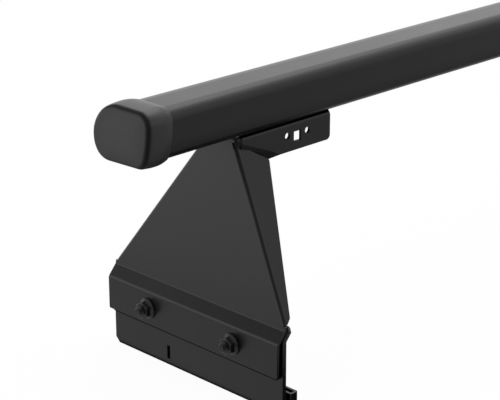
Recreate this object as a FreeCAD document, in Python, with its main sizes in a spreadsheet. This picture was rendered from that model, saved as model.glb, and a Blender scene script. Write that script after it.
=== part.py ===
import FreeCAD, Part
import os
import re
import Sketcher

# Roof bar with two folded steel feet for a van.
# Millimetres. X runs along the bar, +Y is the bar's blunt nose, Z is up.
# The origin is on the ground at the middle of the bar, where the feet stand.
# Each foot piece is drawn beside x = 0, the outboard face of the foot's outer plate,
# with the bar running towards +X, and is then placed at its end of the bar.

# Driving sizes, by group
SIZES = {
    # bar section
    "bar_length": 1500,
    "bar_width": 60,
    "bar_height": 42,
    "bar_wall": 2.5,
    "nose_low_radius": 15,
    "tail_top_radius": 10,
    "tail_side_radius": 80,
    "tail_low_radius": 9,
    # end caps
    "cap_proud": 1.9,
    "cap_depth": 21.5,
    "cap_face": 5,
    "cap_rounding": 3,
    "cap_mouth_rounding": 1.2,
    "cap_clearance": 0.15,
    "plug_wall": 2,
    "plug_clearance": 0.4,
    # foot bracket
    "foot_inset": 63.5,
    "seat_height": 205.5,
    "sheet": 2.5,
    "bend_radius": 2,
    "plate_width": 200,
    "plate_drop": 33.5,
    "outer_height": 29,
    "shoulder_tilt": 40.5,
    "shoulder_rise": 9.5,
    "face_tilt": 12.5,
    "ridge_bend_radius": 0.6,
    "ridge_half": 21.2,
    "ridge_drop": 12,
    "ridge_inset": 0.6,
    "relief_start": 3.5,
    "flange_start": 5,
    "flange_end": 4,
    "flange_low_width": 8,
    "flange_low_rise": 5,
    "flange_corner": 4,
    "flange_tip_width": 34.7,
    "flange_tip_drop": 6.2,
    "flange_top_width": 5.5,
    "flange_top_rise": 5.2,
    "neck_half": 16,
    "neck_start": 6.5,
    # arms under the bar
    "arm_half": 21,
    "arm_end": 144,
    "arm_height": 25.3,
    "arm_corner": 4,
    "arm_fold_drop": 8.3,
    "arm_fold_end": 84,
    "arm_tuck_angle": 20,
    "arm_tuck_start": 3,
    "arm_tuck_back": 11.5,
    "arm_tuck_depth": 7,
    "web_setback": 5,
    "hole_place": 104.6,
    "hole_drop": 13.7,
    "hole_rise": 2.2,
    "hole_spacing": 11.8,
    "round_hole": 5.8,
    "square_hole": 8.6,
    # clamp plate behind the outer plate
    "plate_gap": 4,
    "clamp_sheet": 4,
    "clamp_bend_rise": 1.3,
    "clamp_shoulder": 13.4,
    "clamp_top_chamfer": 3.5,
    "clamp_chamfer": 4.5,
    "slot_width": 3.6,
    "slot_height": 12,
    "slot_rise": 5.4,
    "slot_place": 32.6,
    # clamp jaw inboard of the clamp plate
    "grip_gap": 5.7,
    "jaw_sheet": 2,
    "jaw_depth": 8.2,
    "jaw_rim": 15.3,
    "jaw_rounding": 1.8,
    "jaw_half": 70,
    "jaw_height": 62,
    "jaw_corner": 12,
    # clamp bolts, spacers and nuts
    "bolt_spacing": 100,
    "bolt_rise": 14.6,
    "bolt_diameter": 8,
    "bolt_hole": 9,
    "bolt_tail": 12.4,
    "bolt_square": 8,
    "square_clearance": 0.3,
    "head_diameter": 20,
    "head_height": 4.5,
    "spacer_diameter": 15,
    "nut_height": 8,
    "nut_flange": 17.9,
    "nut_rim": 1.8,
    "nut_cone": 1.8,
    "nut_across": 13,
    "hex_chamfer_angle": 30,
    "hex_chamfer_inset": 0.4,
    "thread_clearance": 0.15,
    # screws that hold the foot to the bar
    "screw_first": 60,
    "screw_spacing": 44,
    "screw_across": 13,
    "screw_head": 5.3,
    "washer_diameter": 16,
    "washer_height": 1.6,
    "nut_plate_length": 80,
    "nut_plate_width": 26,
    "nut_plate_height": 5,
    "screw_past": 2,
}

doc = FreeCAD.newDocument("roof_bar")
sheet = doc.addObject("Spreadsheet::Sheet", "sizes")
for row, (alias, size) in enumerate(SIZES.items(), start=1):
    sheet.set(f"A{row}", alias)
    sheet.set(f"B{row}", str(size))
    sheet.setAlias(f"B{row}", alias)
doc.recompute()


def cells(formula):
    """Point each size in a formula at its cell in the sheet."""
    return re.sub(r"[a-z]+(?:_[a-z]+)+|\bsheet\b", lambda word: "sizes." + word.group(0), str(formula))


def bind(item, path, formula):
    """Tie one property of an object to a formula of the sheet's sizes."""
    item.setExpression(path, cells(formula))


def value(formula):
    """Work out a formula of the sheet's sizes."""
    result = sheet.evalExpression(cells(formula))
    return float(getattr(result, "Value", result))


# Derived places, as formulas of the sizes
PLATE_FOOT = "plate_drop"
FOLD_LOW = "(plate_drop + outer_height)"
FOLD_HIGH = "(plate_drop + outer_height + shoulder_rise)"
FACE_X = "(shoulder_rise * tan(shoulder_tilt))"
WEB_X = f"({FACE_X} + (seat_height - {FOLD_HIGH}) * tan(face_tilt))"
RIDGE_Z = "(seat_height - ridge_drop)"
RIDGE_X = f"({FACE_X} + ({RIDGE_Z} - {FOLD_HIGH}) * tan(face_tilt))"
FACE_LENGTH = f"((seat_height - {FOLD_HIGH}) / cos(face_tilt))"
RIDGE_UP = f"(({RIDGE_Z} - {FOLD_HIGH}) / cos(face_tilt))"
RIDGE_SPREAD = "(plate_width / 2 - ridge_inset - ridge_half)"
RIDGE_ANGLE = f"atan({RIDGE_SPREAD} / ({RIDGE_UP} - flange_start))"
BEND_OUTSIDE = "(bend_radius + sheet)"
RIDGE_OUTSIDE = "(ridge_bend_radius + sheet)"
FLANGE_LOW = f"(({RIDGE_UP} - flange_start) / cos({RIDGE_ANGLE}))"
ARM_X = f"({WEB_X} + {BEND_OUTSIDE} * tan((90 - face_tilt) / 2))"
BOLT_Z = "(plate_drop + bolt_rise)"
CLAMP_X = "(sheet + plate_gap)"
JAW_X = "(sheet + plate_gap + clamp_sheet + grip_gap)"
FOOT_X = "(bar_length / 2 - foot_inset)"
NOSE_TOP_RADIUS = "(bar_height - nose_low_radius)"


def new_body(label):
    """Start a sub-part; its label names its file."""
    body = doc.addObject("PartDesign::Body", label)
    body.Label = label
    return body


def new_sketch(body, name, role, offset="0", along=("0", "0"), turns=None):
    """Attach a sketch to one of the body's own origin planes, moved and turned by formulas."""
    sketch = body.newObject("Sketcher::SketchObject", name)
    origin_plane = [item for item in body.Origin.OriginFeatures if item.Role == role][0]
    sketch.AttachmentSupport = (origin_plane, [""])
    sketch.MapMode = "FlatFace"
    bind(sketch, "AttachmentOffset.Base.x", along[0])
    bind(sketch, "AttachmentOffset.Base.y", along[1])
    bind(sketch, "AttachmentOffset.Base.z", offset)
    for angle_name, formula in (turns or {}).items():
        bind(sketch, f"AttachmentOffset.Rotation.{angle_name}", formula)
    return sketch


def fix(sketch, kind, *where, formula):
    """Add a driving constraint whose value is a formula."""
    index = sketch.addConstraint(Sketcher.Constraint(kind, *where, value(formula)))
    bind(sketch, f"Constraints[{index}]", formula)


def place_point(sketch, edge, end, across, up):
    """Fix a point of an edge by its two distances from the sketch's origin."""
    fix(sketch, "DistanceX", -1, 1, edge, end, formula=across)
    fix(sketch, "DistanceY", -1, 1, edge, end, formula=up)


def polygon(sketch, corners):
    """Draw a closed polygon through corners that are pairs of formulas."""
    points = [FreeCAD.Vector(value(across), value(up), 0) for across, up in corners]
    first = sketch.GeometryCount
    count = len(points)
    for index in range(count):
        sketch.addGeometry(Part.LineSegment(points[index], points[(index + 1) % count]), False)
    for index in range(count):
        after = first + (index + 1) % count
        sketch.addConstraint(Sketcher.Constraint("Coincident", first + index, 2, after, 1))
    for index, (across, up) in enumerate(corners):
        place_point(sketch, first + index, 1, across, up)


def circle(sketch, across, up, diameter):
    """Draw a circle by its centre and diameter."""
    centre = FreeCAD.Vector(value(across), value(up), 0)
    up_axis = FreeCAD.Vector(0, 0, 1)
    edge = sketch.addGeometry(Part.Circle(centre, up_axis, value(diameter) / 2), False)
    place_point(sketch, edge, 3, across, up)
    fix(sketch, "Diameter", edge, formula=diameter)


def rectangle(sketch, left, right, low, high):
    """Draw an upright rectangle between four formulas."""
    polygon(sketch, [(left, low), (right, low), (right, high), (left, high)])


def pad(body, sketch, name, length, both_ways=False, reverse=False):
    """Raise a sketch into a solid."""
    feature = body.newObject("PartDesign::Pad", name)
    feature.Profile = sketch
    bind(feature, "Length", length)
    feature.SideType = "Symmetric" if both_ways else "One side"
    feature.Reversed = reverse
    doc.recompute()
    return feature


def pocket(body, sketch, name, length, both_ways=False, reverse=False):
    """Cut a sketch out of the body and make sure that it removed something."""
    before = body.Shape.Volume
    feature = body.newObject("PartDesign::Pocket", name)
    feature.Profile = sketch
    feature.Type = "Length"
    bind(feature, "Length", length)
    feature.SideType = "Symmetric" if both_ways else "One side"
    feature.Reversed = reverse
    doc.recompute()
    if body.Shape.Volume >= before:
        raise RuntimeError(f"{body.Label}: {name} removes nothing")
    return feature


def turn(body, sketch, name, axis):
    """Revolve a sketch about one of its own axes."""
    feature = body.newObject("PartDesign::Revolution", name)
    feature.Profile = sketch
    feature.ReferenceAxis = (sketch, [axis])
    feature.Angle = 360
    doc.recompute()
    return feature


def edges_where(body, test):
    """Name the edges of a body's last shape that pass a test of their two end points."""
    names = []
    for index, edge in enumerate(body.Shape.Edges, start=1):
        if len(edge.Vertexes) == 2 and test(edge.Vertexes[0].Point, edge.Vertexes[1].Point):
            names.append(f"Edge{index}")
    return names


def dress(body, kind, name, names, size):
    """Round or chamfer named edges of the body's last feature."""
    if not names:
        raise RuntimeError(f"{body.Label}: {name} found no edge")
    feature = body.newObject(f"PartDesign::{kind}", name)
    feature.Base = (body.Tip if body.Tip != feature else feature.BaseFeature, names)
    bind(feature, "Radius" if kind == "Fillet" else "Size", size)
    doc.recompute()
    return feature


def near(number, formula, slack=0.01):
    """Tell whether a number is at a formula's value."""
    return abs(number - value(formula)) < slack


def along_y(x_formula, z_formula):
    """Test for edges along Y that run through a place of the XZ plane."""
    def test(start, end):
        same = abs(start.x - end.x) < 0.001 and abs(start.z - end.z) < 0.001
        return same and near(start.x, x_formula) and near(start.z, z_formula)
    return test


def inner_corner(across, up, tilt_below, tilt_above):
    """Corner of a folded sheet's inner side, from its outer corner and the tilts at the fold."""
    middle = f"(({tilt_below}) + ({tilt_above})) / 2"
    half_turn = f"(({tilt_above}) - ({tilt_below})) / 2"
    return (
        f"({across} + sheet * cos({middle}) / cos({half_turn}))",
        f"({up} - sheet * sin({middle}) / cos({half_turn}))",
    )


def bar_outline(sketch, skin):
    """Bar section moved inwards by a skin: flat top and bottom, blunt nose at +Y, lean tail at -Y."""
    half = f"(bar_width / 2 - ({skin}))"
    bottom = f"(seat_height + ({skin}))"
    top = f"(seat_height + bar_height - ({skin}))"
    nose_low = f"(nose_low_radius - ({skin}))"
    tail_top = f"(tail_top_radius - ({skin}))"
    tail_side = f"(tail_side_radius - ({skin}))"
    tail_low = f"(tail_low_radius - ({skin}))"
    nose_top = f"({NOSE_TOP_RADIUS} - ({skin}))"

    nose_y = value(half)
    nose_low_y = nose_y - value(nose_low)
    nose_top_y = nose_y - value(nose_top)
    nose_z = value(bottom) + value(nose_low)
    tail_top_y = -nose_y + value(tail_top)
    tail_z = value(top) - value(tail_top)
    tail_side_y = -nose_y + value(tail_side)
    tail_low_z = value(bottom) + value(tail_low)
    reach = value(tail_side) - value(tail_low)
    tail_low_y = tail_side_y - (reach ** 2 - (tail_z - tail_low_z) ** 2) ** 0.5
    outwards = (tail_low_y - tail_side_y, tail_low_z - tail_z)
    meet_y = tail_low_y + outwards[0] / reach * value(tail_low)
    meet_z = tail_low_z + outwards[1] / reach * value(tail_low)

    def point(y, z):
        return FreeCAD.Vector(y, z, 0)

    def arc(centre_y, centre_z, start, end, clockwise_mid):
        radius_vector = point(centre_y, centre_z)
        toward = clockwise_mid.sub(radius_vector)
        return Part.Arc(start, radius_vector.add(toward), end)

    def between(centre_y, centre_z, radius, start, end):
        middle = start.add(end).multiply(0.5).sub(point(centre_y, centre_z))
        middle.normalize()
        return point(centre_y, centre_z).add(middle.multiply(radius))

    stops = [
        point(tail_low_y, value(bottom)),
        point(nose_low_y, value(bottom)),
        point(nose_y, nose_z),
        point(nose_top_y, value(top)),
        point(tail_top_y, value(top)),
        point(-nose_y, tail_z),
        point(meet_y, meet_z),
    ]
    rounds = [
        None,
        (nose_low_y, nose_z, value(nose_low)),
        (nose_top_y, nose_z, value(nose_top)),
        None,
        (tail_top_y, tail_z, value(tail_top)),
        (tail_side_y, tail_z, value(tail_side)),
        (tail_low_y, tail_low_z, value(tail_low)),
    ]
    first = sketch.GeometryCount
    ends = []
    for index, centre in enumerate(rounds):
        start = stops[index]
        end = stops[(index + 1) % len(stops)]
        if centre is None:
            edge = sketch.addGeometry(Part.LineSegment(start, end), False)
            ends.append((edge, 1, 2))
            continue
        middle = between(*centre, start, end)
        edge = sketch.addGeometry(arc(centre[0], centre[1], start, end, middle), False)
        forwards = sketch.Geometry[edge].StartPoint.distanceToPoint(start) < 0.001
        ends.append((edge, 1, 2) if forwards else (edge, 2, 1))
    for index, (edge, _, last) in enumerate(ends):
        after, begin, _ = ends[(index + 1) % len(ends)]
        sketch.addConstraint(Sketcher.Constraint("Tangent", edge, last, after, begin))
    low_line, nose_low_arc, nose_top_arc, top_line, tail_top_arc, tail_side_arc, tail_low_arc = range(
        first, first + len(rounds))
    sketch.addConstraint(Sketcher.Constraint("Horizontal", low_line))
    sketch.addConstraint(Sketcher.Constraint("Horizontal", top_line))
    fix(sketch, "DistanceY", -1, 1, low_line, 1, formula=bottom)
    fix(sketch, "DistanceY", -1, 1, top_line, 1, formula=top)
    fix(sketch, "Radius", nose_low_arc, formula=nose_low)
    fix(sketch, "Radius", tail_top_arc, formula=tail_top)
    fix(sketch, "Radius", tail_side_arc, formula=tail_side)
    fix(sketch, "Radius", tail_low_arc, formula=tail_low)
    fix(sketch, "DistanceX", -1, 1, nose_low_arc, 3, formula=f"{half} - {nose_low}")
    fix(sketch, "DistanceX", -1, 1, tail_top_arc, 3, formula=f"{tail_top} - {half}")
    sketch.addConstraint(Sketcher.Constraint("Horizontal", nose_low_arc, 3, nose_top_arc, 3))
    sketch.addConstraint(Sketcher.Constraint("Horizontal", tail_top_arc, 3, tail_side_arc, 3))


def make_crossbar():
    """Hollow extruded bar with the holes that take the foot screws."""
    body = new_body("crossbar")
    section = new_sketch(body, "bar_section", "YZ_Plane")
    bar_outline(section, "0")
    bar_outline(section, "bar_wall")
    pad(body, section, "bar_extrusion", "bar_length", both_ways=True)
    holes = new_sketch(body, "bar_holes", "XY_Plane", offset="seat_height - bar_wall")
    for side in (-1, 1):
        for place in ("screw_first", "screw_first + screw_spacing"):
            circle(holes, f"{side} * ({FOOT_X} - ({place}))", "0", "bolt_hole")
    pocket(body, holes, "bar_drilling", "3 * bar_wall", reverse=True)
    return body


def make_end_cap(label, side):
    """Push-on cap: rounded collar over the bar's end and a plug inside it."""
    body = new_body(label)
    cap_end = "bar_length / 2 + cap_face"
    outside = new_sketch(body, "cap_section", "YZ_Plane", offset=f"{side} * ({cap_end})")
    bar_outline(outside, "-cap_proud")
    pad(body, outside, "cap_block", "cap_face + cap_depth", reverse=side > 0)

    def edges_at(place):
        level = value(f"{side} * ({place})")
        return edges_where(body, lambda start, end: max(abs(start.x - level), abs(end.x - level)) < 0.01)

    dress(body, "Fillet", "cap_face_rounding", edges_at(cap_end), "cap_rounding")
    mouth = "bar_length / 2 - cap_depth"
    dress(body, "Fillet", "cap_mouth_rounding", edges_at(mouth), "cap_mouth_rounding")

    socket = new_sketch(body, "cap_socket", "YZ_Plane", offset=f"{side} * bar_length / 2")
    bar_outline(socket, "-cap_clearance")
    bar_outline(socket, "bar_wall + plug_clearance")
    pocket(body, socket, "cap_socket_cut", "cap_depth + 1", reverse=side < 0)
    hollow = new_sketch(body, "plug_hollow", "YZ_Plane", offset=f"{side} * ({mouth})")
    bar_outline(hollow, "bar_wall + plug_clearance + plug_wall")
    pocket(body, hollow, "plug_hollow_cut", "cap_depth", reverse=side > 0)
    return body


def place_foot_piece(body, side):
    """Stand a foot piece at its end of the bar; the far foot is the same part turned about."""
    bind(body, "Placement.Base.x", f"{side} * {FOOT_X}")
    bind(body, "Placement.Rotation.Yaw", "0" if side < 0 else "180")


def cut_face_outline(body, name, mirror):
    """Trim the tilted face to its slanted side bend and to the neck below the bar."""
    sketch = new_sketch(body, f"face_trim_{name}", "YZ_Plane", offset=FACE_X,
                        along=("0", FOLD_HIGH), turns={"Roll": "face_tilt"})
    beyond = f"{mirror} * (plate_width / 2 + 20)"
    top = f"({FACE_LENGTH} + 20)"
    neck_low = f"({RIDGE_UP} + neck_start)"

    def bend_line(up):
        ridge = f"ridge_half + ({RIDGE_UP} - {up}) * tan({RIDGE_ANGLE})"
        return f"{mirror} * ({ridge} - {RIDGE_OUTSIDE} / cos({RIDGE_ANGLE}))"

    polygon(sketch, [
        (beyond, "relief_start"),
        (bend_line("relief_start"), "relief_start"),
        (bend_line(neck_low), neck_low),
        (f"{mirror} * neck_half", neck_low),
        (f"{mirror} * neck_half", top),
        (beyond, top),
    ])
    pocket(body, sketch, f"face_trim_cut_{name}", "plate_width * 2", both_ways=True)


def add_side_bend(body, name, mirror):
    """Rounded bend along the face's slanted edge, from the relief to the neck."""
    along_ridge = f"flange_end * cos({RIDGE_ANGLE})"
    sketch = new_sketch(
        body, f"side_bend_{name}", "XY_Plane",
        offset=f"{RIDGE_Z} + {along_ridge} * cos(face_tilt)",
        along=(f"{RIDGE_X} + {along_ridge} * sin(face_tilt)",
               f"{mirror} * (ridge_half - flange_end * sin({RIDGE_ANGLE}))"),
        turns={"Pitch": "face_tilt", "Roll": f"{mirror} * {RIDGE_ANGLE}"})
    corners = [
        ("0", f"{-mirror} * {RIDGE_OUTSIDE}"),
        ("sheet", f"{-mirror} * {RIDGE_OUTSIDE}"),
        (RIDGE_OUTSIDE, f"{-mirror} * sheet"),
        (RIDGE_OUTSIDE, "0"),
    ]
    places = [FreeCAD.Vector(value(across), value(up), 0) for across, up in corners]
    outside = value(RIDGE_OUTSIDE)
    centre = FreeCAD.Vector(outside, -mirror * outside, 0)
    diagonal = FreeCAD.Vector(-1, mirror, 0).normalize()

    def on_arc(radius):
        return centre.add(FreeCAD.Vector(diagonal).multiply(value(radius)))

    face_line = sketch.addGeometry(Part.LineSegment(places[0], places[1]), False)
    inner_arc = sketch.addGeometry(Part.Arc(places[1], on_arc("ridge_bend_radius"), places[2]), False)
    flange_line = sketch.addGeometry(Part.LineSegment(places[2], places[3]), False)
    outer_arc = sketch.addGeometry(Part.Arc(places[3], on_arc(RIDGE_OUTSIDE), places[0]), False)

    def end_at(edge, place):
        return 1 if sketch.getPoint(edge, 1).distanceToPoint(place) < 0.001 else 2

    for arc, line, line_end, place in ((inner_arc, face_line, 2, places[1]),
                                       (inner_arc, flange_line, 1, places[2]),
                                       (outer_arc, flange_line, 2, places[3]),
                                       (outer_arc, face_line, 1, places[0])):
        sketch.addConstraint(Sketcher.Constraint("Coincident", arc, end_at(arc, place), line, line_end))
    for line, line_end, corner in ((face_line, 1, 0), (face_line, 2, 1), (flange_line, 1, 2),
                                   (flange_line, 2, 3)):
        place_point(sketch, line, line_end, *corners[corner])
    fix(sketch, "Radius", inner_arc, formula="ridge_bend_radius")
    fix(sketch, "Radius", outer_arc, formula=RIDGE_OUTSIDE)
    pad(body, sketch, f"side_bend_pad_{name}", f"flange_end + {FLANGE_LOW}", reverse=True)


def add_side_flange(body, name, mirror):
    """Flange along the side bend, widest just under the arm."""
    sketch = new_sketch(
        body, f"flange_{name}", "XZ_Plane", offset=f"{-mirror} * ridge_half",
        along=(RIDGE_X, RIDGE_Z),
        turns={"Yaw": "-face_tilt", "Roll": f"{mirror} * {RIDGE_ANGLE}"})
    corners = [
        (RIDGE_OUTSIDE, f"-{FLANGE_LOW}"),
        ("flange_low_width", f"flange_low_rise - {FLANGE_LOW}"),
        ("flange_tip_width", "-flange_tip_drop"),
        ("flange_top_width", "flange_top_rise"),
        (RIDGE_OUTSIDE, "flange_end"),
    ]
    polygon(sketch, corners)
    pad(body, sketch, f"flange_pad_{name}", "sheet", reverse=mirror < 0)
    placement = sketch.getGlobalPlacement()

    def edges_at(corner):
        place = FreeCAD.Vector(value(corner[0]), value(corner[1]), 0)

        def test(start, end):
            first = placement.inverse().multVec(start)
            last = placement.inverse().multVec(end)
            first.z = 0
            last.z = 0
            return max(first.distanceToPoint(place), last.distanceToPoint(place)) < 0.01
        return edges_where(body, test)

    dress(body, "Fillet", f"flange_low_corner_{name}", edges_at(corners[1]), "flange_corner")
    dress(body, "Fillet", f"flange_tip_{name}", edges_at(corners[2]), "flange_corner / 3")


def add_arm_tuck(body, name, mirror):
    """Lower outboard corner of an arm, folded inwards to pass behind the side flange."""
    run = f"(arm_fold_end - {ARM_X})"
    fold_angle = f"atan((arm_height - arm_fold_drop) / {run})"
    fold_length = f"({run} / cos({fold_angle}))"
    sketch = new_sketch(
        body, f"arm_tuck_{name}", "XZ_Plane", offset=f"{-mirror} * arm_half",
        along=(ARM_X, "seat_height - arm_fold_drop"),
        turns={"Yaw": f"-{fold_angle}", "Roll": f"{-mirror} * arm_tuck_angle"})
    polygon(sketch, [
        ("0", "-arm_tuck_start"),
        (f"{fold_length} - arm_tuck_back", "-arm_tuck_depth"),
        (fold_length, "0"),
        (f"{fold_length} - arm_tuck_back", "sheet / 2"),
        ("0", "sheet / 2"),
    ])
    pad(body, sketch, f"arm_tuck_pad_{name}", "sheet", reverse=mirror < 0)


def add_arms(body):
    """Channel under the bar: a web and two arms that carry the accessory holes."""
    arm_low = "(seat_height - arm_height)"
    arm_inside = "(arm_half - sheet)"
    under = "(seat_height - sheet)"
    channel = new_sketch(body, "arm_channel", "YZ_Plane", offset=ARM_X)
    polygon(channel, [
        ("-arm_half", "seat_height"),
        ("arm_half", "seat_height"),
        ("arm_half", arm_low),
        (arm_inside, arm_low),
        (arm_inside, under),
        (f"-{arm_inside}", under),
        (f"-{arm_inside}", arm_low),
        ("-arm_half", arm_low),
    ])
    pad(body, channel, "arm_channel_pad", f"arm_end - {ARM_X}")

    def along_x(y_formula, z_formula):
        def test(start, end):
            same = abs(start.y - end.y) < 0.001 and abs(start.z - end.z) < 0.001
            return same and near(abs(start.y), y_formula) and near(start.z, z_formula)
        return test

    dress(body, "Fillet", "arm_bends_outside", edges_where(body, along_x("arm_half", "seat_height")),
          BEND_OUTSIDE)
    dress(body, "Fillet", "arm_bends_inside", edges_where(body, along_x(arm_inside, under)), "bend_radius")

    slant = new_sketch(body, "arm_slant", "XZ_Plane")
    polygon(slant, [
        (ARM_X, "seat_height - arm_fold_drop"),
        ("arm_fold_end", arm_low),
        ("arm_fold_end", f"{arm_low} - 1"),
        (ARM_X, f"{arm_low} - 1"),
    ])
    pocket(body, slant, "arm_slant_cut", "arm_half * 3", both_ways=True)

    setback = new_sketch(body, "web_setback", "XY_Plane", offset="seat_height - sheet * 2")
    rectangle(setback, "arm_end - web_setback", "arm_end + 1",
              f"-({arm_inside} - bend_radius)", f"({arm_inside} - bend_radius)")
    pocket(body, setback, "web_setback_cut", "sheet * 3", reverse=True)

    def far_corner(start, end):
        across = abs(start.x - end.x) < 0.001 and abs(start.z - end.z) < 0.001
        return across and near(start.x, "arm_end") and near(start.z, arm_low)

    dress(body, "Fillet", "arm_low_corners", edges_where(body, far_corner), "arm_corner")

    holes = new_sketch(body, "arm_holes", "XZ_Plane")
    hole_z = "(seat_height - hole_drop)"
    rectangle(holes, "hole_place - square_hole / 2", "hole_place + square_hole / 2",
              f"{hole_z} - square_hole / 2", f"{hole_z} + square_hole / 2")
    for way in (-1, 1):
        circle(holes, f"hole_place + {way} * hole_spacing", f"{hole_z} + hole_rise", "round_hole")
    pocket(body, holes, "arm_hole_cut", "arm_half * 4", both_ways=True)


def make_foot_bracket(label, side):
    """One folded steel sheet: outer plate, shoulder, tilted face with flanges, web and two arms."""
    body = new_body(label)
    inner_low = inner_corner("0", FOLD_LOW, "0", "shoulder_tilt")
    inner_high = inner_corner(FACE_X, FOLD_HIGH, "shoulder_tilt", "face_tilt")
    inner_web = inner_corner(WEB_X, "seat_height", "face_tilt", "90")
    profile = new_sketch(body, "side_profile", "XZ_Plane")
    polygon(profile, [
        ("0", PLATE_FOOT),
        ("0", FOLD_LOW),
        (FACE_X, FOLD_HIGH),
        (WEB_X, "seat_height"),
        (f"{ARM_X} + sheet", "seat_height"),
        (f"{ARM_X} + sheet", "seat_height - sheet"),
        inner_web,
        inner_high,
        inner_low,
        ("sheet", PLATE_FOOT),
    ])
    pad(body, profile, "folded_sheet", "plate_width", both_ways=True)
    outside_bends = [("0", FOLD_LOW), inner_high, (WEB_X, "seat_height")]
    inside_bends = [inner_low, (FACE_X, FOLD_HIGH), inner_web]
    for name, places, radius in (("outside_bends", outside_bends, BEND_OUTSIDE),
                                 ("inside_bends", inside_bends, "bend_radius")):
        names = []
        for place in places:
            names += edges_where(body, along_y(*place))
        dress(body, "Fillet", name, names, radius)
    for name, mirror in (("near", -1), ("far", 1)):
        cut_face_outline(body, name, mirror)
    add_arms(body)
    for name, mirror in (("near", -1), ("far", 1)):
        add_side_bend(body, name, mirror)
        add_side_flange(body, name, mirror)
        add_arm_tuck(body, name, mirror)

    bolts = new_sketch(body, "bolt_holes", "YZ_Plane", offset="-1")
    for way in (-1, 1):
        circle(bolts, f"{way} * bolt_spacing / 2", BOLT_Z, "bolt_hole")
    pocket(body, bolts, "bolt_hole_cut", "sheet + 2", reverse=True)
    screws = new_sketch(body, "screw_holes", "XY_Plane", offset="seat_height - sheet - 1")
    for place in ("screw_first", "screw_first + screw_spacing"):
        circle(screws, place, "0", "bolt_hole")
    pocket(body, screws, "screw_hole_cut", "sheet + 2", reverse=True)

    def plate_corner(start, end):
        across = abs(start.y - end.y) < 0.001 and abs(start.z - end.z) < 0.001
        return across and near(abs(start.y), "plate_width / 2") and near(start.z, PLATE_FOOT)

    dress(body, "Fillet", "plate_corners", edges_where(body, plate_corner), "sheet / 2")
    place_foot_piece(body, side)
    return body


def make_clamp_plate(label, side):
    """Thick plate behind the outer plate; its lower edge stands in the roof gutter."""
    body = new_body(label)
    fold = f"({FOLD_LOW} + clamp_bend_rise)"
    rise = "clamp_shoulder * cos(shoulder_tilt)"
    run = "clamp_shoulder * sin(shoulder_tilt)"
    bend_shift = "clamp_sheet * tan(shoulder_tilt / 2)"
    profile = new_sketch(body, "clamp_profile", "XZ_Plane")
    inner = (f"{CLAMP_X} + clamp_sheet", f"{fold} - {bend_shift}")
    polygon(profile, [
        (CLAMP_X, "0"),
        (CLAMP_X, fold),
        (f"{CLAMP_X} + {run}", f"{fold} + {rise}"),
        (f"{CLAMP_X} + {run} + clamp_sheet * cos(shoulder_tilt)",
         f"{fold} + {rise} - clamp_sheet * sin(shoulder_tilt)"),
        inner,
        (f"{CLAMP_X} + clamp_sheet", "0"),
    ])
    pad(body, profile, "clamp_folded", "plate_width", both_ways=True)
    dress(body, "Fillet", "clamp_bend_outside", edges_where(body, along_y(CLAMP_X, fold)),
          "bend_radius + clamp_sheet")
    dress(body, "Fillet", "clamp_bend_inside", edges_where(body, along_y(*inner)), "bend_radius")

    def nose(start, end):
        across = abs(start.x - end.x) < 0.001 and abs(start.z - end.z) < 0.001
        return across and start.z > value(f"{fold} + bend_radius")

    dress(body, "Fillet", "clamp_nose", edges_where(body, nose), "clamp_sheet / 3")

    def low_corner(start, end):
        across = abs(start.y - end.y) < 0.001 and abs(start.z - end.z) < 0.001
        return across and near(start.z, "0") and near(abs(start.y), "plate_width / 2")

    dress(body, "Chamfer", "clamp_low_corners", edges_where(body, low_corner), "clamp_chamfer")
    corner_cut = new_sketch(
        body, "clamp_top_corners", "YZ_Plane", offset=f"{CLAMP_X} + {run}",
        along=("0", f"{fold} + {rise}"), turns={"Roll": "shoulder_tilt"})
    for way in (-1, 1):
        side_edge = f"{way} * plate_width / 2"
        polygon(corner_cut, [
            (f"{way} * (plate_width / 2 - clamp_top_chamfer)", "1"),
            (f"{way} * (plate_width / 2 + 1)", "1"),
            (f"{way} * (plate_width / 2 + 1)", "-clamp_top_chamfer - 1"),
            (side_edge, "-clamp_top_chamfer - 1"),
            (side_edge, "-clamp_top_chamfer"),
            (f"{way} * (plate_width / 2 - clamp_top_chamfer)", "0"),
        ])
    pocket(body, corner_cut, "clamp_top_corner_cut", "clamp_sheet * 3", both_ways=True)
    openings = new_sketch(body, "clamp_openings", "YZ_Plane", offset=f"{CLAMP_X} - 1")
    for way in (-1, 1):
        circle(openings, f"{way} * bolt_spacing / 2", BOLT_Z, "bolt_hole")
    rectangle(openings, "slot_place - slot_width / 2", "slot_place + slot_width / 2",
              "slot_rise", "slot_rise + slot_height")
    pocket(body, openings, "clamp_openings_cut", "clamp_sheet + 2", reverse=True)
    place_foot_piece(body, side)
    return body


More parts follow.
